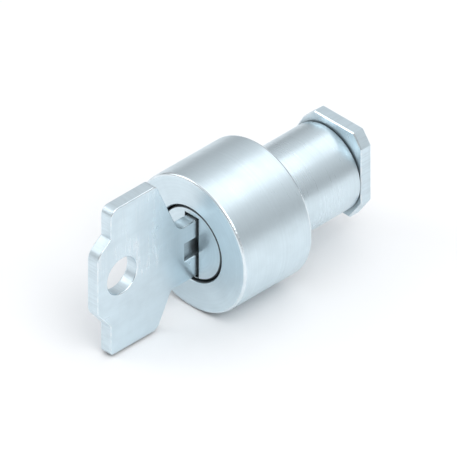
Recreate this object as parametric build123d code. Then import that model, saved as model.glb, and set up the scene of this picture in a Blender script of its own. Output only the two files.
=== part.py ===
from build123d import *
import math
import os

# Key-operated selector switch head for a control panel or breaker cover.
#
# Frame (millimetres): the lock's axis is Y. The origin is on that axis, in the plane of the
# collar's rear rim, which is the face that rests on the panel. The key goes in towards +Y,
# +Z is up, and the key's flat sides face +X and -X. The front is at -Y, the drive tail at +Y.
#
# Outside: a large round collar, a smooth round shank behind it, a thin plate nut with clipped
# corners at the shank's end, and a flat key with a stepped bow standing in the plug.
# Inside: a barrel with four tumbler channels, with the shank sleeve's nose pressed into its rear
# end, a plug with five spring-loaded wafers, a shaft with a stop washer, a square detent cam
# gripped by a leaf clip, a rear bush and a drive dog.

# ---------------------------------------------------------------- driving dimensions
COLLAR_R = 12.6          # collar's outside radius
COLLAR_L = 15.6          # collar's length, front face to rear rim
COLLAR_BORE_R = 10.6     # inside of the collar's skirt
COLLAR_FRONT_T = 2.2     # front wall's thickness
COLLAR_HOLE_R = 6.98     # hole in the front wall, round the plug
COLLAR_EDGE = 0.45       # fillet on the front and rear rims

SHANK_R = 8.0            # smooth shank that passes through the panel
SHANK_ROOT_R = 8.3       # barrel's rear spigot inside the collar, which centres the gasket
SHANK_Y0 = -0.05         # where the shank sleeve butts against the barrel
NOSE_R = 7.45            # sleeve's nose, pressed into the barrel
NOSE_Y0 = -1.6
SHANK_L = 15.8           # from the panel face to the nut's seat
THREAD_R = 6.5           # crest radius of the tail thread
THREAD_DEPTH = 0.45
THREAD_PITCH = 1.0
THREAD_Y0, THREAD_Y1 = 16.1, 18.85   # where the tail's thread starts and runs out
TAIL_THREAD_END_Y = 19.0   # rear end of the sleeve's threaded tail
BARREL_FRONT_Y = -12.6
BARREL_INNER_R = 9.2     # barrel's outside radius inside the collar
FLANGE_R = 10.55
FLANGE_Y0, FLANGE_Y1 = -5.0, -2.0
BORE_R = 6.70            # barrel's bore, a running fit on the plug
BORE_END_Y = 5.0         # front of the web that carries the shaft
WEB_END_Y = 8.0          # rear of that web
WEB_HOLE_R = 3.05
CAVITY_R = 5.50          # rear cavity, round the detent parts
CHANNEL_W = 5.3          # four channels that catch the wafers
CHANNEL_R = 7.6
CHANNEL_Y0, CHANNEL_Y1 = -12.2, -2.5

PLUG_R = 6.65
PLUG_FACE_Y = -15.35     # plug's face, a quarter of a millimetre behind the collar's
PLUG_END_Y = 4.3
SHAFT_R = 3.0
SHAFT_D_Y0, SHAFT_D_Y1 = 8.9, 15.0   # two-flat part of the shaft
SHAFT_D_R, SHAFT_D_HALF = 2.5, 1.9
JOURNAL_R = 2.2
JOURNAL_END_Y = 19.0
TAIL_HALF = 1.6          # half the width across the tail's flats
TAIL_END_Y = 21.4
SCREW_R = 1.2

KEYWAY_HALF_X = 1.30
KEYWAY_HALF_Z = 4.35
KEYWAY_END_Y = 1.2
MOUTH_HALF_X = 1.62      # wider mouth that takes the key's shoulder
MOUTH_Z0, MOUTH_Z1 = -6.25, 5.65
MOUTH_END_Y = -12.85
WARD_X = 0.62            # the ward's crest, inside the key's groove
WARD_Z0, WARD_Z1 = -1.35, 1.50

KEY_T = 2.4              # key's thickness
KEY_HALF = KEY_T / 2
KEY_EDGE = 0.22          # rounding of the bow's edges
BLADE_Z0, BLADE_Z1 = -5.87, 5.24      # the shoulder, in front of the plug
SHOULDER_END_Y = -13.05
BIT_HALF_Z = 4.2         # bitted blade's half height at its root
BLADE_TIP_Y = 0.7
GROOVE_Y0 = -18.3
GROOVE_Z0, GROOVE_Z1 = -1.65, 1.80
GROOVE_X = 0.45          # floor of the groove
GROOVE_BREAK = 0.14      # broken edges along the groove
RING_HOLE_R = 3.4
RING_HOLE_Y, RING_HOLE_Z = -32.6, 2.7

WAFER_N = 5
WAFER_Y = [-11.2 + 2.0 * i for i in range(WAFER_N)]
WAFER_T = 0.80
WAFER_HALF_X = 2.50
WAFER_END_R = 6.50       # wafer's ends, inside the plug's surface while the key is in
WINDOW_HALF_X = 1.40
WINDOW_H = 8.9
BIT_STEP = 0.28          # each land is this much lower than the last, towards the tip
LAND_HALF = 0.55
VALLEY = 0.42
EAR_X = 4.10
EAR_Z0, EAR_Z1 = -0.20, 0.80
LIFT = 0.60              # how far a wafer springs out with the key withdrawn
SPRING_X = 3.45
SPRING_HOLE_R = 0.68
SPRING_R = 0.46
SPRING_WIRE_R = 0.10
SPRING_Z0 = -3.60

NUT_T = 2.35             # plate nut's thickness
NUT_BORE_R = THREAD_R + 0.06
NUT_EDGE = 0.20
# plate nut's outline, (x, z): 16 wide across its two upright flats, taller above the axis
NUT_OUTLINE = [(-2.9, 9.45), (6.2, 9.45), (8.0, 6.95), (8.0, -3.85), (5.2, -7.85),
               (-5.2, -7.85), (-8.0, -3.85), (-8.0, 2.7), (-5.5, 7.05)]

DOG_R = 4.0
DOG_Y0, DOG_Y1 = 19.25, 22.25
DOG_SLOT = 1.6
DOG_SLOT_DEPTH = 1.3

STOP_Y0, STOP_Y1 = 9.0, 9.9
STOP_LUG_DEG = 135.0     # from +Z towards +X, with the key upright
STOP_LUG_HALF_DEG = 14.0
STOP_PIN_R = 0.60
STOP_PIN_RADIUS = 4.75
STOP_GAP_DEG = 8.0
TURN_DEG = 90.0

CAM_HALF = 3.0
CAM_CORNER_R = 3.7
CAM_Y0, CAM_Y1 = 10.8, 13.8


# ---------------------------------------------------------------- helpers
def cyl(r, y0, y1, x=0.0, z=0.0):
    """A cylinder along Y."""
    return Pos(x, (y0 + y1) / 2, z) * Rot(90, 0, 0) * Cylinder(r, y1 - y0)


def box(x0, x1, y0, y1, z0, z1):
    return Pos((x0 + x1) / 2, (y0 + y1) / 2, (z0 + z1) / 2) * Box(x1 - x0, y1 - y0, z1 - z0)


def turned(points):
    """Revolves a closed outline of (radius, y) points about the Y axis."""
    return revolve(make_face(Polyline([(r, y, 0) for r, y in points], close=True)), axis=Axis.Y)


def plate_xz(points, y0, y1):
    """Extrudes a closed outline of (x, z) points from y0 to y1."""
    outline = make_face(Polyline([(x, y0, z) for x, z in points], close=True))
    return extrude(outline, amount=y1 - y0, dir=(0, 1, 0))


def about_y(shape, degrees):
    """Turns a shape about +Y, so that +Z goes towards +X."""
    return Rot(0, degrees, 0) * shape


def two_flat(r, half_x, y0, y1):
    """A round bar along Y with two flats facing +X and -X."""
    return cyl(r, y0, y1) & box(-half_x, half_x, y0 - 1, y1 + 1, -r - 1, r + 1)


def thread_ridge(r0, r1, half_root, half_crest, y0, turns=6.0):
    """A helical ridge about Y, from radius r0 out to r1, starting at y0."""
    path = Helix(pitch=THREAD_PITCH, height=THREAD_PITCH * turns, radius=r0)
    h = r1 - r0
    profile = Plane(origin=path @ 0, x_dir=(1, 0, 0), z_dir=path % 0) * make_face(Polyline(
        [(0, -half_root), (h, -half_crest), (h, half_crest), (0, half_root)], close=True))
    ridge = sweep(profile, path=path, is_frenet=True)
    return Pos(0, y0, 0) * Rot(-90, 0, 0) * ridge


def land(i):
    """Half height of the blade under wafer i."""
    return BIT_HALF_Z - BIT_STEP * i


def write(shape, name):
    os.makedirs("parts", exist_ok=True)
    solids = shape.solids()
    out = solids[0] if len(solids) == 1 else Compound(children=list(solids))
    out.label = name
    export_step(out, f"parts/{name}.step")


# ---------------------------------------------------------------- collar: the large round front shell
def make_collar():
    e = COLLAR_EDGE
    body = turned([
        (COLLAR_HOLE_R, -COLLAR_L), (COLLAR_R, -COLLAR_L), (COLLAR_R, 0), (COLLAR_BORE_R, 0),
        (COLLAR_BORE_R, -1.0), (11.15, -1.0), (11.15, -1.98), (COLLAR_BORE_R, -1.98),
        (COLLAR_BORE_R, -COLLAR_L + COLLAR_FRONT_T), (COLLAR_HOLE_R, -COLLAR_L + COLLAR_FRONT_T),
    ])
    rims = [ed for ed in body.edges().filter_by(GeomType.CIRCLE)
            if abs(ed.radius - COLLAR_R) < 1e-4]
    body = fillet(rims, e)
    mouth = [ed for ed in body.edges().filter_by(GeomType.CIRCLE)
             if abs(ed.radius - COLLAR_HOLE_R) < 1e-4 and abs(ed.center().Y + COLLAR_L) < 1e-4]
    body = chamfer(mouth, 0.22)
    # keyed to the barrel's flange by a dowel lying half in each
    return body - cyl(0.62, -FLANGE_R / 2 + 0.2, -1.5, x=0, z=-FLANGE_R)


# ---------------------------------------------------------------- barrel: the stator, inside the collar
def make_barrel():
    body = turned([
        (BORE_R, BARREL_FRONT_Y), (BARREL_INNER_R, BARREL_FRONT_Y), (BARREL_INNER_R, FLANGE_Y0),
        (FLANGE_R, FLANGE_Y0), (FLANGE_R, FLANGE_Y1), (SHANK_ROOT_R, FLANGE_Y1),
        (SHANK_ROOT_R, SHANK_Y0), (NOSE_R, SHANK_Y0), (NOSE_R, NOSE_Y0), (BORE_R, NOSE_Y0),
    ])
    half = CHANNEL_W / 2
    for quarter in range(2):
        channel = box(-half, half, CHANNEL_Y0, CHANNEL_Y1, -CHANNEL_R, CHANNEL_R)
        body -= about_y(channel, 90 * quarter)
    return body - cyl(0.62, -FLANGE_R / 2 + 0.2, -1.5, x=0, z=-FLANGE_R)


# ---------------------------------------------------------------- shank sleeve, with its web and threaded tail
def make_shank_sleeve():
    root = THREAD_R - THREAD_DEPTH
    nose = NOSE_R - 0.02
    body = turned([
        (BORE_R, NOSE_Y0 + 0.05), (nose, NOSE_Y0 + 0.05), (nose, SHANK_Y0), (SHANK_R, SHANK_Y0),
        (SHANK_R, SHANK_L), (root, SHANK_L), (root, TAIL_THREAD_END_Y - 0.15),
        (root - 0.15, TAIL_THREAD_END_Y), (CAVITY_R, TAIL_THREAD_END_Y), (CAVITY_R, WEB_END_Y),
        (WEB_HOLE_R, WEB_END_Y), (WEB_HOLE_R, BORE_END_Y), (BORE_R, BORE_END_Y),
    ])
    rims = [e for e in body.edges().filter_by(GeomType.CIRCLE)
            if abs(e.radius - SHANK_R) < 1e-4 and e.center().Y > SHANK_L - 0.1]
    body = chamfer(rims, 0.25)
    band = cyl(THREAD_R + 1, THREAD_Y0, THREAD_Y1)
    body += thread_ridge(root - 0.1, THREAD_R, 0.40, 0.09, THREAD_Y0 - 1.2) & band
    for deg in stop_pin_angles():
        x, z = polar(STOP_PIN_RADIUS, deg)
        body -= cyl(STOP_PIN_R + 0.01, 5.5, WEB_END_Y + 1, x=x, z=z)
    return body


def polar(r, deg):
    """(x, z) at an angle from +Z towards +X."""
    a = math.radians(deg)
    return r * math.sin(a), r * math.cos(a)


def stop_pin_angles():
    reach = STOP_LUG_HALF_DEG + STOP_GAP_DEG
    return [STOP_LUG_DEG - reach, STOP_LUG_DEG + TURN_DEG + reach]


# ---------------------------------------------------------------- plug: the rotor, with its shaft in one piece
def make_plug():
    body = cyl(PLUG_R, PLUG_FACE_Y, PLUG_END_Y)
    body += cyl(SHAFT_R, PLUG_END_Y - 0.5, SHAFT_D_Y0)
    body += two_flat(SHAFT_D_R, SHAFT_D_HALF, SHAFT_D_Y0 - 0.1, SHAFT_D_Y1)
    body += cyl(JOURNAL_R, SHAFT_D_Y1 - 0.1, JOURNAL_END_Y)
    body += two_flat(JOURNAL_R, TAIL_HALF, JOURNAL_END_Y - 0.1, TAIL_END_Y)
    face_edge = [ed for ed in body.edges().filter_by(GeomType.CIRCLE)
                 if abs(ed.radius - PLUG_R) < 1e-4 and ed.center().Y < PLUG_FACE_Y + 0.01]
    body = chamfer(face_edge, 0.2)
    # circlip groove, and the tapped hole for the drive screw
    body -= cyl(4.0, 8.1, 8.72) - cyl(2.3, 8.0, 8.9)
    body -= cyl(SCREW_R + 0.02, TAIL_END_Y - 5.0, TAIL_END_Y + 1)
    # keyway with its ward, and the wider mouth
    keyway = box(-KEYWAY_HALF_X, KEYWAY_HALF_X, PLUG_FACE_Y - 1, KEYWAY_END_Y,
                 -KEYWAY_HALF_Z, KEYWAY_HALF_Z)
    keyway -= box(WARD_X, KEYWAY_HALF_X + 1, MOUTH_END_Y, KEYWAY_END_Y + 1, WARD_Z0, WARD_Z1)
    body -= keyway
    body -= box(-MOUTH_HALF_X, MOUTH_HALF_X, PLUG_FACE_Y - 1, MOUTH_END_Y, MOUTH_Z0, MOUTH_Z1)
    # wafer slots, ear pockets and spring holes; every other wafer works the other way up
    gap = WAFER_T / 2 + 0.06
    for i, y in enumerate(WAFER_Y):
        cut = box(-WAFER_HALF_X - 0.08, WAFER_HALF_X + 0.08, y - gap, y + gap, -8, 8)
        cut += box(0, EAR_X + 0.15, y - gap, y + gap, EAR_Z0 - 0.1, EAR_Z1 + LIFT + 0.25)
        cut += Pos(SPRING_X, y, (SPRING_Z0 + EAR_Z0) / 2) * Cylinder(
            SPRING_HOLE_R, EAR_Z0 - SPRING_Z0 + 0.1)
        body -= about_y(cut, 180 * (i % 2))
    return body


# ---------------------------------------------------------------- wafers and their springs
def make_wafer(i):
    y0, y1 = WAFER_Y[i] - WAFER_T / 2, WAFER_Y[i] + WAFER_T / 2
    plate = cyl(WAFER_END_R, y0, y1) & box(-WAFER_HALF_X, WAFER_HALF_X, y0 - 1, y1 + 1, -7, 7)
    plate += box(WAFER_HALF_X - 0.3, EAR_X, y0, y1, EAR_Z0, EAR_Z1)
    low = -land(i) - 0.04
    window = box(-WINDOW_HALF_X, WINDOW_HALF_X, y0 - 1, y1 + 1, low, low + WINDOW_H)
    corners = window.edges().filter_by(Axis.Y)
    window = fillet(corners, 0.3)
    # the relief keeps the rounded corners clear of the blade's corners
    return about_y(plate - window, 180 * (i % 2))


def make_wafer_spring(i):
    top = EAR_Z0 - 0.06 - SPRING_WIRE_R
    bottom = SPRING_Z0 + 0.06 + SPRING_WIRE_R
    turns = 6.0
    path = Helix(pitch=(top - bottom) / turns, height=top - bottom, radius=SPRING_R)
    wire_end = Plane(origin=path @ 0, z_dir=path % 0)
    coil = sweep(wire_end * Circle(SPRING_WIRE_R), path=path)
    return about_y(Pos(SPRING_X, WAFER_Y[i], bottom) * coil, 180 * (i % 2))


# ---------------------------------------------------------------- key
def make_key():
    # bow, as (y, z, corner radius) round its outline, clockwise seen from +X
    corners = [
        (-35.20, 11.15, 0.25), (-35.20, 16.65, 1.50), (-24.69, 16.65, 1.10), (-19.55, BLADE_Z1, 2.30),
        (SHOULDER_END_Y, BLADE_Z1, 0.0), (SHOULDER_END_Y, BLADE_Z0, 0.0), (-21.19, BLADE_Z0, 0.35),
        (-24.48, -12.15, 1.90), (-35.20, -12.15, 0.60), (-35.20, -6.40, 0.25), (-38.25, -2.55, 2.20),
        (-38.25, 8.90, 2.60),
    ]
    n = len(corners)
    edges, previous = [], None
    marks = []
    for k in range(n):
        y, z, r = corners[k]
        p, a, b = (Vector(0, *corners[k][:2]), Vector(0, *corners[k - 1][:2]),
                   Vector(0, *corners[(k + 1) % n][:2]))
        if r == 0:
            marks.append((p, p, None))
            continue
        u, v = (a - p).normalized(), (b - p).normalized()
        half = math.acos(max(-1, min(1, u.dot(v)))) / 2
        reach = r / math.tan(half)
        centre = p + (u + v).normalized() * (r / math.sin(half))
        mid = centre + (p - centre).normalized() * r
        marks.append((p + u * reach, p + v * reach, mid))
    for k in range(n):
        start, end, mid = marks[k]
        if mid is not None:
            edges.append(ThreePointArc(start, mid, end))
        edges.append(Line(end, marks[(k + 1) % n][0]))
    outline = make_face(Wire(edges))
    bow = extrude(outline, amount=KEY_HALF, dir=(1, 0, 0), both=True)
    bow -= Pos(0, RING_HOLE_Y, RING_HOLE_Z) * Rot(0, 90, 0) * Cylinder(RING_HOLE_R, 3 * KEY_T)
    # soften the long edges, but not the shoulder's end, which stops on the plug
    soft = [ed for ed in bow.edges()
            if abs(abs(ed.center().X) - KEY_HALF) < 1e-5 and ed.center().Y < SHOULDER_END_Y - 0.05]
    bow = fillet(soft, KEY_EDGE)
    # bitted blade, stepping down towards the tip with a shallow valley between lands
    top = [(SHOULDER_END_Y - 0.5, BIT_HALF_Z), (WAFER_Y[0] + LAND_HALF, BIT_HALF_Z)]
    for i in range(1, WAFER_N):
        y = WAFER_Y[i]
        top += [(y - 1.0, land(i) - VALLEY), (y - LAND_HALF, land(i)), (y + LAND_HALF, land(i))]
    top += [(WAFER_Y[-1] + 1.6, land(WAFER_N) - 0.15), (BLADE_TIP_Y - 0.9, 2.0), (BLADE_TIP_Y, 1.0)]
    pts = top + [(y, -z) for y, z in reversed(top)]
    blade = extrude(make_face(Polyline([(0, y, z) for y, z in pts], close=True)),
                    amount=KEY_HALF, dir=(1, 0, 0), both=True)
    key = bow + blade
    # side groove with broken edges, from the bow to the tip
    c, over = GROOVE_BREAK, 0.5
    groove = plate_xz([
        (GROOVE_X, GROOVE_Z0), (KEY_HALF - c, GROOVE_Z0), (KEY_HALF + over, GROOVE_Z0 - c - over),
        (KEY_HALF + over, GROOVE_Z1 + c + over), (KEY_HALF - c, GROOVE_Z1), (GROOVE_X, GROOVE_Z1),
    ], GROOVE_Y0, BLADE_TIP_Y + 1)
    return key - groove


# ---------------------------------------------------------------- rear running parts
def make_stop_washer():
    ring = cyl(3.9, STOP_Y0, STOP_Y1)
    a = STOP_LUG_HALF_DEG
    pts = [polar(3.0, -a)] + [polar(5.4, t) for t in (-a, -a / 2, 0, a / 2, a)] + [polar(3.0, a)]
    lug = about_y(plate_xz(pts, STOP_Y0, STOP_Y1), STOP_LUG_DEG)
    return ring + lug - two_flat(SHAFT_D_R + 0.04, SHAFT_D_HALF + 0.04, STOP_Y0 - 1, STOP_Y1 + 1)


def make_stop_pins():
    pins = []
    for deg in stop_pin_angles():
        x, z = polar(STOP_PIN_RADIUS, deg)
        pin = cyl(STOP_PIN_R, 5.55, 10.3, x=x, z=z)
        pins.append(chamfer([e for e in pin.edges() if e.center().Y > 10.2], 0.15))
    return Compound(children=pins)


def make_detent_cam():
    h = CAM_HALF
    body = box(-h, h, CAM_Y0, CAM_Y1, -h, h) & cyl(CAM_CORNER_R, CAM_Y0 - 1, CAM_Y1 + 1)
    return body - two_flat(SHAFT_D_R + 0.04, SHAFT_D_HALF + 0.04, CAM_Y0 - 1, CAM_Y1 + 1)


def make_detent_spring():
    y0, y1 = CAM_Y0 + 0.2, CAM_Y1 - 0.2
    inner, t = CAM_HALF + 0.03, 0.35
    clip = box(-inner - t, inner + t, y0, y1, -3.8, 4.2) - box(-inner, inner, y0 - 1, y1 + 1, -5, 3.85)
    # toes turned out at the open end, so that the clip can be pushed over the cam
    for side in (-1, 1):
        x0, x1 = sorted((side * (inner + t), side * (inner + t + 0.45)))
        clip += box(x0, x1, y0, y1, -3.8, -3.45)
    return clip


def make_shaft_circlip():
    ring = cyl(4.0, 8.14, 8.68) - cyl(2.34, 8, 9)
    ring -= box(-1.7, 1.7, 8, 9, 0, 6)
    for deg in (120, 240):
        x, z = polar(3.35, deg)
        ring -= cyl(0.40, 8, 9, x=x, z=z)
    return ring


def make_rear_bush():
    body = cyl(CAVITY_R - 0.02, 15.6, TAIL_THREAD_END_Y - 0.15) - cyl(JOURNAL_R + 0.05, 15, 20)
    edge = [e for e in body.edges().filter_by(GeomType.CIRCLE)
            if abs(e.radius - CAVITY_R + 0.02) < 1e-4 and e.center().Y > 18]
    return chamfer(edge, 0.25)


def make_drive_dog():
    body = cyl(DOG_R, DOG_Y0, DOG_Y1)
    body = chamfer([e for e in body.edges() if e.center().Y > DOG_Y1 - 0.01], 0.3)
    body -= two_flat(JOURNAL_R + 0.04, TAIL_HALF + 0.04, DOG_Y0 - 1, DOG_Y1 + 1)
    body -= cyl(2.6, TAIL_END_Y + 0.02, DOG_Y1 + 1)
    slot = box(-6, 6, DOG_Y1 - DOG_SLOT_DEPTH, DOG_Y1 + 1, -DOG_SLOT / 2, DOG_SLOT / 2)
    keep = cyl(2.9, DOG_Y0, DOG_Y1 + 2)
    return body - (slot - keep)


def make_drive_screw():
    head = cyl(2.25, TAIL_END_Y + 0.04, TAIL_END_Y + 0.95)
    head = fillet([e for e in head.edges() if e.center().Y > TAIL_END_Y + 0.9], 0.3)
    cross = box(-1.2, 1.2, TAIL_END_Y + 0.4, TAIL_END_Y + 2, -0.22, 0.22)
    cross += box(-0.22, 0.22, TAIL_END_Y + 0.4, TAIL_END_Y + 2, -1.2, 1.2)
    return head - cross + cyl(SCREW_R, TAIL_END_Y - 4.4, TAIL_END_Y + 0.2)


# ---------------------------------------------------------------- plate nut, seals, rings and dowel
def make_nut_plate():
    body = plate_xz(NUT_OUTLINE, SHANK_L + 0.02, SHANK_L + NUT_T)
    body = chamfer(body.edges().filter_by(Axis.Y, reverse=True), NUT_EDGE)
    body -= cyl(NUT_BORE_R, 10, 25)
    bore = [e for e in body.edges().filter_by(GeomType.CIRCLE)
            if abs(e.radius - NUT_BORE_R) < 1e-4]
    body = chamfer(bore, 0.30)
    return body - thread_ridge(NUT_BORE_R - 0.15, NUT_BORE_R + THREAD_DEPTH, 0.40, 0.09, SHANK_L - 1.5)


def make_panel_gasket():
    return cyl(COLLAR_BORE_R - 0.1, -0.98, -0.02) - cyl(SHANK_ROOT_R + 0.08, -2, 1)


def make_collar_snap_ring():
    ring = cyl(11.05, -1.92, -1.08) - cyl(9.3, -3, 1)
    ring -= box(-2.2, 2.2, -3, 1, 0, 13)
    for side in (-1, 1):
        x, z = polar(9.75, side * 19)
        ring += cyl(1.15, -1.92, -1.08, x=x, z=z)
        ring -= cyl(0.45, -3, 1, x=x, z=z)
    return ring


def make_collar_dowel():
    return cyl(0.60, FLANGE_Y0 + 0.0, FLANGE_Y1 - 0.05, x=0, z=-FLANGE_R)


def make_dust_seal_ring():
    return cyl(9.0, -13.36, -12.64) - cyl(PLUG_R + 0.06, -14, -12)


def make_thrust_washer():
    return cyl(6.4, PLUG_END_Y + 0.05, BORE_END_Y - 0.05) - cyl(SHAFT_R + 0.12, 4, 6)


def main():
    write(make_collar(), "collar")
    write(make_barrel(), "barrel")
    write(make_shank_sleeve(), "shank_sleeve")
    write(make_plug(), "plug")
    write(make_key(), "key")
    for i in range(WAFER_N):
        write(make_wafer(i), f"wafer_{i + 1}")
        write(make_wafer_spring(i), f"wafer_spring_{i + 1}")
    write(make_stop_washer(), "stop_washer")
    write(make_stop_pins(), "stop_pins")
    write(make_detent_cam(), "detent_cam")
    write(make_detent_spring(), "detent_spring")
    write(make_shaft_circlip(), "shaft_circlip")
    write(make_rear_bush(), "rear_bush")
    write(make_drive_dog(), "drive_dog")
    write(make_drive_screw(), "drive_screw")
    write(make_nut_plate(), "nut_plate")
    write(make_panel_gasket(), "panel_gasket")
    write(make_collar_snap_ring(), "collar_snap_ring")
    write(make_collar_dowel(), "collar_dowel")
    write(make_dust_seal_ring(), "dust_seal_ring")
    write(make_thrust_washer(), "thrust_washer")


main()
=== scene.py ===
import bpy
import math
from mathutils import Vector, Matrix


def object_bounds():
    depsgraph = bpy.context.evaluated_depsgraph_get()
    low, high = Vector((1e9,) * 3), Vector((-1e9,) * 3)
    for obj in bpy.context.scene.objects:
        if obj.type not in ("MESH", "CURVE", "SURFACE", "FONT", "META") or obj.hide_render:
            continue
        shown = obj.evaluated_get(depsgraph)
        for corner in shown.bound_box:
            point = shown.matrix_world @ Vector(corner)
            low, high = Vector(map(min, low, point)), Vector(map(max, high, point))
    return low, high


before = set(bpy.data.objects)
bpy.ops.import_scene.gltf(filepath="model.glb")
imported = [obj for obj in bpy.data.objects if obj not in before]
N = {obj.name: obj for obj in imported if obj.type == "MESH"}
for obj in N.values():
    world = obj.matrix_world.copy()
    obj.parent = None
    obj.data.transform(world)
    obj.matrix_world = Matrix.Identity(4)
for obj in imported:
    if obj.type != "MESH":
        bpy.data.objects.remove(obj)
cad_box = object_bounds()


# ---------------------------------------------------------------- node helpers
class Mat:
    """A material under construction, with short names for the nodes it uses most."""

    def __init__(self, name, metallic=1.0, ior=None, coat=None, coat_rough=0.2, aniso=None,
                 sss=None, spec=None):
        self.m = bpy.data.materials.new(name)
        self.m.use_nodes = True
        self.nt = self.m.node_tree
        self.nt.nodes.clear()
        self.out = self.new("ShaderNodeOutputMaterial")
        self.b = self.new("ShaderNodeBsdfPrincipled")
        self.nt.links.new(self.b.outputs[0], self.out.inputs[0])
        self.b.inputs["Metallic"].default_value = metallic
        if ior is not None:
            self.b.inputs["IOR"].default_value = ior
        if spec is not None:
            self.b.inputs["Specular IOR Level"].default_value = spec
        if coat is not None:
            self.b.inputs["Coat Weight"].default_value = coat
            self.b.inputs["Coat Roughness"].default_value = coat_rough
        if aniso is not None:
            self.b.inputs["Anisotropic"].default_value = aniso
        if sss is not None:
            self.b.inputs["Subsurface Weight"].default_value = sss
            self.b.inputs["Subsurface Radius"].default_value = (1.0, 0.9, 0.7)
            self.b.inputs["Subsurface Scale"].default_value = 0.0006
        tc = self.new("ShaderNodeTexCoord")
        self.obj = tc.outputs["Object"]
        self.nrm = tc.outputs["Normal"]
        sep = self.new("ShaderNodeSeparateXYZ")
        self.link(self.obj, sep.inputs[0])
        self.x, self.y, self.z = sep.outputs
        sn = self.new("ShaderNodeSeparateXYZ")
        self.link(self.nrm, sn.inputs[0])
        self.nx, self.ny, self.nz = sn.outputs

    def new(self, kind):
        return self.nt.nodes.new(kind)

    def link(self, a, b):
        self.nt.links.new(a, b)

    def put(self, socket, value):
        if hasattr(value, "is_output"):
            self.link(value, socket)
        elif isinstance(value, (tuple, list)) and len(value) == 3 and len(socket.default_value) == 4:
            socket.default_value = (*value, 1.0)
        else:
            socket.default_value = value

    def math(self, op, a, b=None, c=None, clamp=False):
        n = self.new("ShaderNodeMath")
        n.operation = op
        n.use_clamp = clamp
        for k, v in enumerate((a, b, c)):
            if v is not None:
                self.put(n.inputs[k], v)
        return n.outputs[0]

    def add(self, *terms):
        out = terms[0]
        for t in terms[1:]:
            out = self.math("ADD", out, t)
        return out

    def mul(self, *terms):
        out = terms[0]
        for t in terms[1:]:
            out = self.math("MULTIPLY", out, t)
        return out

    def noise(self, scale, detail=2.0, rough=0.5, vec=None, w=None, distortion=0.0):
        n = self.new("ShaderNodeTexNoise")
        if w is not None:
            n.noise_dimensions = "1D"
            self.put(n.inputs["W"], w)
        else:
            self.put(n.inputs["Vector"], self.obj if vec is None else vec)
        n.inputs["Scale"].default_value = scale
        n.inputs["Detail"].default_value = detail
        n.inputs["Roughness"].default_value = rough
        n.inputs["Distortion"].default_value = distortion
        return n.outputs["Fac"] if "Fac" in n.outputs else n.outputs[0]

    def remap(self, v, a, b, c=0.0, d=1.0, smooth=True):
        n = self.new("ShaderNodeMapRange")
        n.interpolation_type = "SMOOTHSTEP" if smooth else "LINEAR"
        self.put(n.inputs["Value"], v)
        n.inputs["From Min"].default_value = a
        n.inputs["From Max"].default_value = b
        n.inputs["To Min"].default_value = c
        n.inputs["To Max"].default_value = d
        return n.outputs["Result"]

    def mix(self, fac, a, b, mode="MIX"):
        n = self.new("ShaderNodeMix")
        n.data_type = "RGBA"
        n.blend_type = mode
        self.put(n.inputs["Factor"], fac)
        self.put(n.inputs[6], a)
        self.put(n.inputs[7], b)
        return n.outputs[2]

    def stretch(self, sx, sy, sz, rot=(0, 0, 0)):
        """Object coordinates, turned and scaled, for streaks."""
        n = self.new("ShaderNodeMapping")
        self.link(self.obj, n.inputs["Vector"])
        n.inputs["Rotation"].default_value = rot
        n.inputs["Scale"].default_value = (sx, sy, sz)
        return n.outputs["Vector"]

    def bump(self, height, strength, distance, base=None):
        n = self.new("ShaderNodeBump")
        n.inputs["Strength"].default_value = strength
        n.inputs["Distance"].default_value = distance
        self.put(n.inputs["Height"], height)
        if base is not None:
            self.link(base, n.inputs["Normal"])
        return n.outputs["Normal"]

    def occlusion(self, distance, samples=6, inside=False):
        n = self.new("ShaderNodeAmbientOcclusion")
        n.samples = samples
        n.inside = inside
        n.inputs["Distance"].default_value = distance
        return n.outputs["AO"]

    def radius(self):
        return self.math("SQRT", self.add(self.mul(self.x, self.x), self.mul(self.z, self.z)))

    def done(self, color, roughness, normal=None):
        self.put(self.b.inputs["Base Color"], color)
        self.put(self.b.inputs["Roughness"], roughness)
        if normal is not None:
            self.link(normal, self.b.inputs["Normal"])
        return self.m


def shade(c, k):
    return tuple(v * k for v in c)


def crease_shade_and_grime(M, color, dark, distance, amount):
    """Paints shade into a colour in the creases: darker where ambient occlusion finds nearby surfaces, in
    the gaps, corners and recesses where shade falls; also meant as thin plating and dust there.
    """
    ao = M.occlusion(distance)
    f = M.remap(ao, 0.25, 0.95, amount, 0.0)
    return M.mix(f, color, dark), f


def scratches(M, scale, angle_deg, axes, keep=0.018):
    """Sparse thin lines along one direction. axes picks the plane: 'yz' or 'xz'."""
    a = math.radians(angle_deg)
    rot = (a, 0, 0) if axes == "yz" else (0, a, 0)
    v = M.stretch(1.0, 1.0, 0.035, rot)
    n = M.noise(scale, 1.0, 0.4, vec=v, distortion=0.15)
    d = M.math("ABSOLUTE", M.math("SUBTRACT", n, 0.5))
    line = M.remap(d, 0.0, keep, 1.0, 0.0)
    gate = M.remap(M.noise(scale * 0.11, 1.0, 0.5), 0.52, 0.66, 0.0, 1.0)
    return M.mul(line, gate)


def ring_distance(M, r, r0, y0):
    """Distance from the circle of radius r0 at y0, both in mm."""
    dr = M.math("SUBTRACT", r, r0 / 1000)
    dy = M.math("SUBTRACT", M.y, y0 / 1000)
    return M.math("SQRT", M.add(M.mul(dr, dr), M.mul(dy, dy)))


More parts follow.
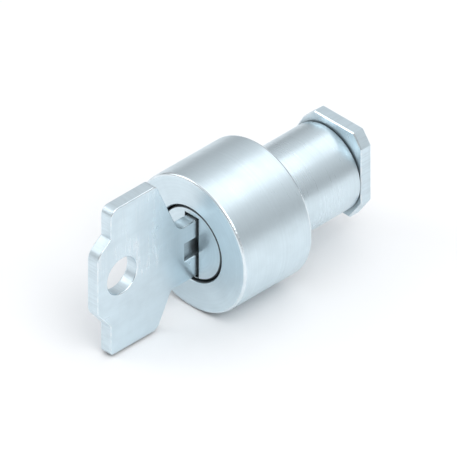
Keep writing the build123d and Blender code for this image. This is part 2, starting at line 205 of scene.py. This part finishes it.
def turned_metal(name, base, rough, rims=(), seams=(), lathe=1.0, aniso=0.35, smudge=1.0):
    """Plated metal turned about the Y axis. rims lists (radius, y, width) in mm for worn edges, which are
    lightened as worn plating and as a painted highlight line, and seams the same for the circles where dirt
    has settled against the next piece."""
    M = Mat(name, aniso=aniso)
    tangent = M.new("ShaderNodeTangent")
    tangent.direction_type = "RADIAL"
    tangent.axis = "Y"
    M.link(tangent.outputs[0], M.b.inputs["Tangent"])
    r = M.radius()
    wobble = M.mul(M.math("SUBTRACT", M.noise(55.0, 1.0), 0.5), 0.00012)
    w = M.add(M.y, r, wobble)
    coarse = M.noise(2300.0, 2.0, 0.6, w=w)
    fine = M.noise(9500.0, 2.0, 0.6, w=w)
    handled = M.noise(150.0, 3.0, 0.6)
    patch = M.noise(420.0, 2.0, 0.55)
    pits = M.remap(M.noise(5200.0, 1.0, 0.5), 0.74, 0.81, 0.0, 1.0)
    color = M.mix(M.remap(handled, 0.35, 0.70), base, shade(base, 0.93))
    color = M.mix(M.mul(M.remap(coarse, 0.3, 0.7), 0.16), color, shade(base, 0.80))
    color = M.mix(M.mul(pits, 0.25), color, shade(base, 0.55))
    rr = M.add(rough, M.mul(M.math("SUBTRACT", coarse, 0.5), 0.16 * lathe),
               M.mul(M.math("SUBTRACT", fine, 0.5), 0.10 * lathe),
               M.mul(M.math("SUBTRACT", handled, 0.5), 0.22 * smudge))
    for r0, y0, width in rims:
        d = ring_distance(M, r, r0, y0)
        edge = M.remap(M.add(d, M.mul(M.math("SUBTRACT", patch, 0.5), width / 1200)),
                       width / 3000, width / 1000, 1.0, 0.0)
        # worn rim and painted highlight: the rim is lightened toward near white and made smoother, as worn
        # plating and as a highlight line along the edge
        color = M.mix(M.mul(edge, 0.45), color, (0.86, 0.90, 0.92))
        rr = M.math("SUBTRACT", rr, M.mul(edge, 0.12))
    for r0, y0, width in seams:
        d = ring_distance(M, r, r0, y0)
        dirt = M.remap(M.add(d, M.mul(M.math("SUBTRACT", patch, 0.5), width / 2500)),
                       width / 1700, width / 1000, 0.88, 0.0)
        color = M.mix(dirt, color, (0.055, 0.058, 0.062))
        rr = M.add(rr, M.mul(dirt, 0.25))
    # painted shade: the colour darkens toward shade(base, 0.16) where ambient occlusion is high, in gaps and
    # creases, partly also as dust
    color, f = crease_shade_and_grime(M, color, shade(base, 0.16), 0.0012, 0.75)
    rr = M.math("MAXIMUM", M.add(rr, M.mul(f, 0.25)), 0.16)
    h = M.add(M.mul(fine, 0.5), M.mul(coarse, 0.7), M.mul(pits, -0.5), M.mul(patch, 0.15))
    return M.done(color, rr, M.bump(h, 0.30 * lathe, 0.00002))


def sheet_metal(name, base, rough, face, grain=(1, 1, 1), edge_axis="x", edge_wear_and_highlight=0.5, scratch=1.0,
                groove=None):
    """Plated stamping. face is the plane its flat sides lie in, and edge_axis their normal.
    groove is a box in mm, lowest and highest corner, whose inner faces show milled cutter marks and are
    darkened as painted shade in the recess."""
    M = Mat(name, aniso=0.0)
    n = {"x": M.nx, "y": M.ny, "z": M.nz}[edge_axis]
    flat = M.math("ABSOLUTE", n)
    side = M.math("SQRT", M.math("MAXIMUM", M.math("SUBTRACT", 1.0, M.mul(flat, flat)), 0.0))
    fillet = M.remap(M.math("MINIMUM", flat, side), 0.18, 0.50)
    handled = M.noise(170.0, 3.0, 0.62)
    patch = M.noise(900.0, 3.0, 0.6)
    orange = M.noise(2600.0, 2.0, 0.5)
    streak = M.noise(900.0, 2.0, 0.55, vec=M.stretch(*grain))
    s = M.mul(scratches(M, 900.0, 18.0, face), 1.0)
    s = M.math("MAXIMUM", s, scratches(M, 700.0, -37.0, face))
    s = M.math("MAXIMUM", s, scratches(M, 1100.0, 71.0, face))
    sideness = M.remap(flat, 0.25, 0.05)
    s = M.mul(s, scratch, M.math("SUBTRACT", 1.0, sideness))
    # on the sheared sides the streaks run through the thickness
    through = {"x": (0.05, 1, 1), "y": (1, 0.05, 1), "z": (1, 1, 0.05)}[edge_axis]
    shear = M.noise(3800.0, 2.0, 0.5, vec=M.stretch(*through))
    color = M.mix(M.remap(handled, 0.35, 0.72), base, shade(base, 0.925))
    color = M.mix(M.mul(M.remap(streak, 0.35, 0.75), 0.14), color, shade(base, 0.80))
    color = M.mix(M.mul(sideness, M.remap(shear, 0.40, 0.75), 0.30), color, shade(base, 0.66))
    # worn edge and painted highlight: the fillets are lightened toward near white, as worn plating and as a
    # highlight line along the edges
    color = M.mix(M.mul(fillet, M.remap(patch, 0.42, 0.60), edge_wear_and_highlight), color, (0.86, 0.89, 0.90))
    color = M.mix(M.mul(s, 0.35), color, (0.88, 0.91, 0.93))
    rr = M.add(rough, M.mul(M.math("SUBTRACT", handled, 0.5), 0.26),
               M.mul(M.math("SUBTRACT", streak, 0.5), 0.14), M.mul(sideness, 0.08),
               M.mul(fillet, -0.10), M.mul(s, -0.08))
    h = M.add(M.mul(orange, 0.35), M.mul(streak, 0.25), M.mul(s, -0.55),
              M.mul(sideness, shear, 1.1), M.mul(patch, 0.2))
    if groove:
        inside = None
        for c, a, b in zip((M.x, M.y, M.z), *groove):
            mid, half = (a + b) / 2000, (b - a) / 2000
            d = M.math("ABSOLUTE", M.math("SUBTRACT", c, mid))
            step = M.remap(d, half + 0.00001, half - 0.00001, 0.0, 1.0)
            inside = step if inside is None else M.mul(inside, step)
        cutter = M.noise(9000.0, 2.0, 0.6, w=M.add(M.z, M.mul(M.noise(60.0, 1.0), 0.00008)))
        # painted shade in the groove: its inner faces are darkened to 0.60-0.78 of the base, with milled
        # cutter marks along the groove
        milled_and_shaded = M.mix(M.remap(cutter, 0.3, 0.7), shade(base, 0.60), shade(base, 0.78))
        color = M.mix(inside, color, milled_and_shaded)
        rr = M.add(rr, M.mul(inside, 0.08))
        h = M.add(h, M.mul(inside, cutter, 0.8))
    # painted shade: the colour darkens toward shade(base, 0.15) where ambient occlusion is high, in creases
    # and recesses, partly also as dust
    color, f = crease_shade_and_grime(M, color, shade(base, 0.15), 0.0012, 0.70)
    rr = M.math("MAXIMUM", M.add(rr, M.mul(f, 0.25)), 0.16)
    return M.done(color, rr, M.bump(h, 0.28, 0.00002))


def plain_steel(name, base, rough, mottle=0.5, grain_scale=3000.0, dark=0.3, metallic=1.0):
    """Small steel pieces: phosphated, cast or drawn."""
    M = Mat(name, metallic=metallic)
    big = M.noise(380.0, 3.0, 0.6)
    small = M.noise(grain_scale, 3.0, 0.6)
    color = M.mix(M.mul(M.remap(big, 0.3, 0.7), mottle), base, shade(base, 0.72))
    color = M.mix(M.mul(M.remap(small, 0.5, 0.75), mottle * 0.6), color, shade(base, 1.25))
    # painted shade: the colour darkens toward shade(base, dark) where ambient occlusion is high, in creases,
    # partly also as dust
    color, f = crease_shade_and_grime(M, color, shade(base, dark), 0.0008, 0.7)
    rr = M.add(rough, M.mul(M.math("SUBTRACT", small, 0.5), 0.22),
               M.mul(M.math("SUBTRACT", big, 0.5), 0.16), M.mul(f, 0.15))
    return M.done(color, rr, M.bump(M.add(small, M.mul(big, 0.4)), 0.30, 0.00002))


def moulded(name, base, rough, speckle=0.25, sss=None, grain=2600.0, bump=0.25):
    """Rubber or plastic."""
    M = Mat(name, metallic=0.0, sss=sss)
    big = M.noise(300.0, 3.0, 0.6)
    small = M.noise(grain, 3.0, 0.6)
    color = M.mix(M.remap(big, 0.3, 0.7), base, shade(base, 0.86))
    color = M.mix(M.mul(M.remap(small, 0.55, 0.75), speckle), color, shade(base, 1.35))
    # painted shade: the colour darkens toward shade(base, 0.35) where ambient occlusion is high, in creases,
    # partly also as dust
    color, f = crease_shade_and_grime(M, color, shade(base, 0.35), 0.0010, 0.5)
    rr = M.add(rough, M.mul(M.math("SUBTRACT", small, 0.5), 0.20),
               M.mul(M.math("SUBTRACT", big, 0.5), 0.14))
    return M.done(color, rr, M.bump(M.add(small, M.mul(big, 0.5)), bump, 0.00003))


# ---------------------------------------------------------------- finishes
NICKEL = (0.695, 0.806, 0.860)       # pale blue-grey plate
COLLAR = turned_metal("collar_plate", NICKEL, 0.34,
                      rims=[(12.45, -15.45, 0.42), (12.45, -0.15, 0.42)],
                      seams=[(6.98, -15.42, 0.22)])
BARREL = turned_metal("barrel_plate", NICKEL, 0.31, rims=[(8.0, 15.8, 0.35)], lathe=1.15)
PLUG = turned_metal("plug_plate", (0.705, 0.812, 0.864), 0.38, seams=[(6.62, -15.22, 0.24)], lathe=1.3)
KEY = sheet_metal("key_plate", (0.700, 0.808, 0.862), 0.33, "yz", grain=(1, 0.08, 1),
                  edge_axis="x", edge_wear_and_highlight=0.6, groove=((0.30, -18.33, -1.72), (1.10, 3.0, 1.87)))
NUT = sheet_metal("nut_zinc", (0.690, 0.802, 0.858), 0.36, "xz", grain=(1, 1, 0.08),
                  edge_axis="y", edge_wear_and_highlight=0.55, scratch=0.8)
BRASS = sheet_metal("wafer_brass", (0.76, 0.58, 0.28), 0.32, "xz", grain=(1, 1, 0.06),
                    edge_axis="y", edge_wear_and_highlight=0.35, scratch=0.6)
WIRE = plain_steel("spring_wire", (0.56, 0.57, 0.59), 0.26, mottle=0.25)
PHOSPHATE = plain_steel("phosphate", (0.115, 0.118, 0.125), 0.52, mottle=0.7)
CASTING = plain_steel("die_casting", (0.52, 0.56, 0.60), 0.44, mottle=0.35, grain_scale=2100.0)
SCREW = plain_steel("screw_zinc", (0.60, 0.65, 0.68), 0.28, mottle=0.3)
RUBBER = moulded("seal_rubber", (0.020, 0.020, 0.022), 0.62, speckle=0.2)
ACETAL = moulded("acetal", (0.74, 0.73, 0.68), 0.42, speckle=0.08, sss=0.15, bump=0.12)

finish_of = {
    "collar": COLLAR, "barrel": BARREL, "shank_sleeve": BARREL, "plug": PLUG, "key": KEY, "nut_plate": NUT,
    "stop_washer": PHOSPHATE, "stop_pins": WIRE, "detent_cam": ACETAL, "detent_spring": WIRE,
    "shaft_circlip": PHOSPHATE, "rear_bush": ACETAL, "drive_dog": CASTING, "drive_screw": SCREW,
    "panel_gasket": RUBBER, "collar_snap_ring": PHOSPHATE, "collar_dowel": WIRE,
    "dust_seal_ring": RUBBER, "thrust_washer": ACETAL,
}
for name, o in N.items():
    if name.startswith("wafer_spring"):
        m = WIRE
    elif name.startswith("wafer"):
        m = BRASS
    else:
        m = finish_of[name]
    o.data.materials.clear()
    o.data.materials.append(m)


# ---------------------------------------------------------------- stage
floor_z = cad_box[0][2] - 0.00002
bpy.ops.mesh.primitive_plane_add(size=3.0, location=(0, 0, floor_z))
floor = bpy.context.object
floor.name = "floor"
F = Mat("floor_paper", metallic=0.0, spec=0.2)
fn = F.noise(9.0, 3.0, 0.5)
floor.data.materials.append(F.done(F.mix(F.remap(fn, 0.3, 0.7), (0.93, 0.933, 0.937), (0.915, 0.918, 0.923)),
                                   0.75))


# ---------------------------------------------------------------- camera: true isometric
PX_PER_MM = 6.12
right = Vector((1, 1, 0)).normalized()
up = Vector((-1, 1, 2)).normalized()
back = Vector((1, -1, 1)).normalized()
centre = right * (-29.2 / PX_PER_MM / 1000) + up * (-24.2 / PX_PER_MM / 1000)
cam_data = bpy.data.cameras.new("camera")
cam_data.type = "ORTHO"
cam_data.ortho_scale = 458 / PX_PER_MM / 1000
cam_data.clip_start = 0.01
cam_data.clip_end = 5.0
cam = bpy.data.objects.new("camera", cam_data)
bpy.context.scene.collection.objects.link(cam)
cam.matrix_world = Matrix((
    (right.x, up.x, back.x, 0), (right.y, up.y, back.y, 0), (right.z, up.z, back.z, 0),
    (0, 0, 0, 1)))
cam.location = centre + back * 0.35
bpy.context.scene.camera = cam


# ---------------------------------------------------------------- light
def softbox(name, where, towards, size, power, color=(1, 1, 1)):
    data = bpy.data.lights.new(name, "AREA")
    data.shape = "RECTANGLE"
    data.size, data.size_y = size
    data.energy = power
    data.color = color
    ob = bpy.data.objects.new(name, data)
    bpy.context.scene.collection.objects.link(ob)
    ob.location = where
    ob.rotation_euler = (Vector(towards) - Vector(where)).to_track_quat("-Z", "Y").to_euler()
    return ob


softbox("key_light", (0.34, -0.10, 0.40), (0, 0, 0), (0.34, 0.36), 1.12)
softbox("side_light", (-0.34, -0.22, 0.26), (0, 0, 0), (0.24, 0.30), 0.40)
softbox("top_light", (0.02, 0.20, 0.50), (0, 0, 0), (0.45, 0.35), 0.46)

world = bpy.data.worlds.new("studio")
bpy.context.scene.world = world
world.use_nodes = True
wn = world.node_tree
wn.nodes.clear()
w_out = wn.nodes.new("ShaderNodeOutputWorld")
w_bg = wn.nodes.new("ShaderNodeBackground")
w_tc = wn.nodes.new("ShaderNodeTexCoord")
w_sep = wn.nodes.new("ShaderNodeSeparateXYZ")
w_ramp = wn.nodes.new("ShaderNodeValToRGB")
w_map = wn.nodes.new("ShaderNodeMapRange")
wn.links.new(w_tc.outputs["Generated"], w_sep.inputs[0])
wn.links.new(w_sep.outputs[2], w_map.inputs["Value"])
w_map.inputs["From Min"].default_value = -1.0
w_map.inputs["From Max"].default_value = 1.0
wn.links.new(w_map.outputs["Result"], w_ramp.inputs["Fac"])
cr = w_ramp.color_ramp
cr.elements[0].position, cr.elements[0].color = 0.0, (1.0, 1.0, 1.0, 1)
cr.elements[1].position, cr.elements[1].color = 1.0, (0.80, 0.815, 0.84, 1)
e = cr.elements.new(0.503)
e.color = (1.0, 1.0, 1.0, 1)
for pos, v in ((0.512, 0.38), (0.60, 0.44), (0.78, 0.72)):
    e = cr.elements.new(pos)
    e.color = (v, v * 1.01, v * 1.03, 1)
wn.links.new(w_ramp.outputs["Color"], w_bg.inputs["Color"])
w_bg.inputs["Strength"].default_value = 1.0
wn.links.new(w_bg.outputs[0], w_out.inputs[0])

bpy.context.scene.view_settings.view_transform = "Standard"
bpy.context.scene.view_settings.look = "None"
